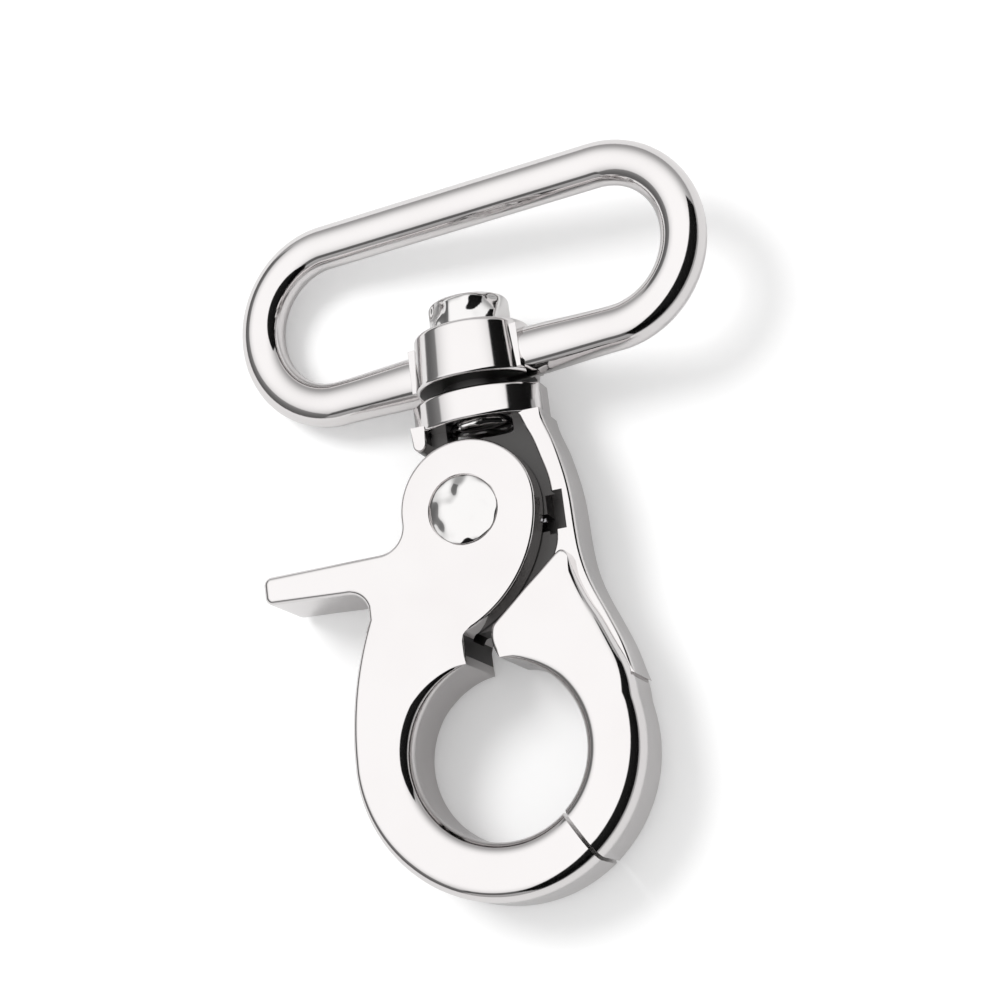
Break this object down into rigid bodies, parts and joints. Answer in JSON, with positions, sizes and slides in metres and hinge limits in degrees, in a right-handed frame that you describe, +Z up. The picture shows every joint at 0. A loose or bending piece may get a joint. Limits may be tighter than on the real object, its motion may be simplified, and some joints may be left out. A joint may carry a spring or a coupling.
{
  "type": "swivel snap hook",
  "caption": "Swivel snap hook: a thumb lever closes half of a round ring against a sprung pivot, below an oval strap loop on a swivel.",
  "frame": {"origin": "centre of the part's box, on the table that it lies on", "axes": "+Y along the swivel axis from the hook towards the strap loop, +X from the thumb arm towards the spine, +Z up off the table"},
  "size_m": [0.0454, 0.0634, 0.0109],
  "materials": {
    "plated_casting": "polished nickel plate on a die casting",
    "plated_rivet": "polished nickel plate, slightly domed",
    "spring_wire": "drawn spring wire"
  },
  "bodies": {
    "hook": {"hook_body": "plated_casting", "swivel_rivet": "plated_rivet", "lever_spring": "spring_wire"},
    "lever": {"trigger_lever": "plated_casting", "pivot_rivet": "plated_rivet"},
    "loop": {"strap_loop": "plated_casting"}
  },
  "joints": [
    {"name": "loop_swivel", "type": "hinge", "parent": "hook", "child": "loop", "pos_m": [0, 0.015, 0.00545], "axis": [0, 1, 0], "continuous": true},
    {"name": "lever_pivot", "type": "hinge", "parent": "hook", "child": "lever", "pos_m": [-0.0016, 0.0015, 0.00545], "axis": [0, 0, 1], "range_deg": [-28, 0], "stiffness_Nm_per_rad": 0.03, "springref_deg": 28.65}
  ]
}
